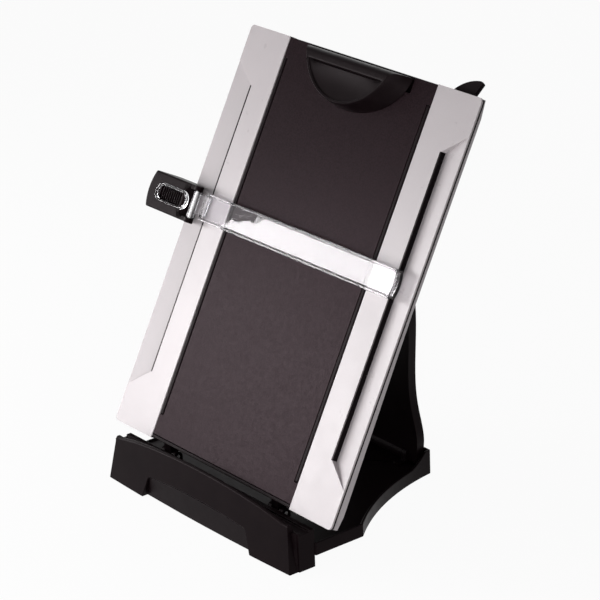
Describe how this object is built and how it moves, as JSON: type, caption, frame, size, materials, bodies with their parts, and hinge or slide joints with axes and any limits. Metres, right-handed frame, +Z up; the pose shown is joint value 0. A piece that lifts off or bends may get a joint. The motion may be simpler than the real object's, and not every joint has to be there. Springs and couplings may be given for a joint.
{
  "type": "document holder with drawer",
  "caption": "Desk copy holder: a leaning panel with side wings, a sheet ledge, a memo clip and a sliding clear line guide, on a tray base with an easel leg and a shallow front drawer.",
  "frame": {"origin": "middle of the front rubber foot's sole, on the desk", "axes": "+X to the reader's right, +Y from the reader to the back, +Z up from the desk"},
  "size_m": [0.2776, 0.1749, 0.3012],
  "materials": {
    "black_plastic": "fine-grained black moulding",
    "black_gloss": "smooth black moulding",
    "silver_plastic": "pale metallic silver, satin",
    "grained_pad": "dark grey-brown sheet with a leather-like grain",
    "clear_plastic": "clear moulding, polished",
    "white_board": "white wipe-clean surface",
    "grey_plastic": "grey moulding",
    "steel": "plain steel",
    "rubber": "soft black rubber"
  },
  "bodies": {
    "base": {"front_ledge": "black_plastic", "base_tray": "black_plastic", "bottom_plate": "black_plastic", "base_screws": "steel", "front_foot": "rubber", "rear_feet": "rubber", "panel_hinge_brackets": "black_plastic", "panel_hinge_pins": "steel", "leg_brackets": "black_plastic", "leg_pivot_pin": "steel", "drawer_runner_left": "black_plastic", "drawer_runner_right": "black_plastic"},
    "drawer": {"drawer_tray": "black_plastic", "drawer_front": "black_plastic"},
    "panel": {"panel_core": "black_plastic", "centre_pad": "grained_pad", "pad_bar": "black_gloss", "side_rail_left": "black_gloss", "side_rail_right": "black_gloss", "wing_left": "silver_plastic", "wing_right": "silver_plastic", "wing_inlay_left": "black_gloss", "wing_inlay_right": "black_gloss", "edge_strip_left": "black_gloss", "edge_strip_right": "black_gloss", "side_skirt_left": "silver_plastic", "side_skirt_right": "silver_plastic", "back_cover": "black_plastic", "cover_screws": "steel", "leg_rack_left": "black_plastic", "leg_rack_right": "black_plastic", "clip_pin": "steel", "clip_spring": "steel"},
    "clip": {"clip_jaw": "black_plastic", "clip_grip": "rubber"},
    "slider": {"guide_slider": "black_plastic", "slider_gib": "black_plastic", "gib_screws": "steel", "guide_loop": "clear_plastic", "guide_pin": "steel"},
    "guide": {"guide_bar": "clear_plastic"},
    "memo": {"memo_board": "white_board", "memo_edge": "grey_plastic", "memo_tab": "black_plastic"},
    "leg": {"easel_leg": "black_plastic", "leg_cross_bar": "steel"}
  },
  "joints": [
    {"name": "drawer_slide", "type": "slide", "parent": "base", "child": "drawer", "axis": [0, -1, 0], "range_m": [0, 0.08]},
    {"name": "panel_tilt", "type": "hinge", "parent": "base", "child": "panel", "pos_m": [0, 0.01326, 0.02555], "axis": [1, 0, 0], "range_deg": [0, 8]},
    {"name": "leg_swing", "type": "hinge", "parent": "base", "child": "leg", "pos_m": [0, 0.1395, 0.0215], "axis": [1, 0, 0], "range_deg": [0, 11]},
    {"name": "clip_tip", "type": "hinge", "parent": "panel", "child": "clip", "pos_m": [0, 0.13837, 0.28967], "axis": [-1, 0, 0], "range_deg": [0, 18], "stiffness_Nm_per_rad": 0.08, "springref_deg": -22.92},
    {"name": "guide_slide", "type": "slide", "parent": "panel", "child": "slider", "axis": [0, 0.4648, 0.8854], "range_m": [-0.128, 0.072]},
    {"name": "guide_flip", "type": "hinge", "parent": "slider", "child": "guide", "pos_m": [-0.1064, 0.07712, 0.18161], "axis": [0, -0.4648, -0.8854], "range_deg": [0, 70]},
    {"name": "memo_slide", "type": "slide", "parent": "panel", "child": "memo", "axis": [1, 0, 0], "range_m": [0, 0.15]}
  ],
  "couplings": [
    {"joint": "leg_swing", "follows": "panel_tilt", "ratio": 1.32}
  ]
}
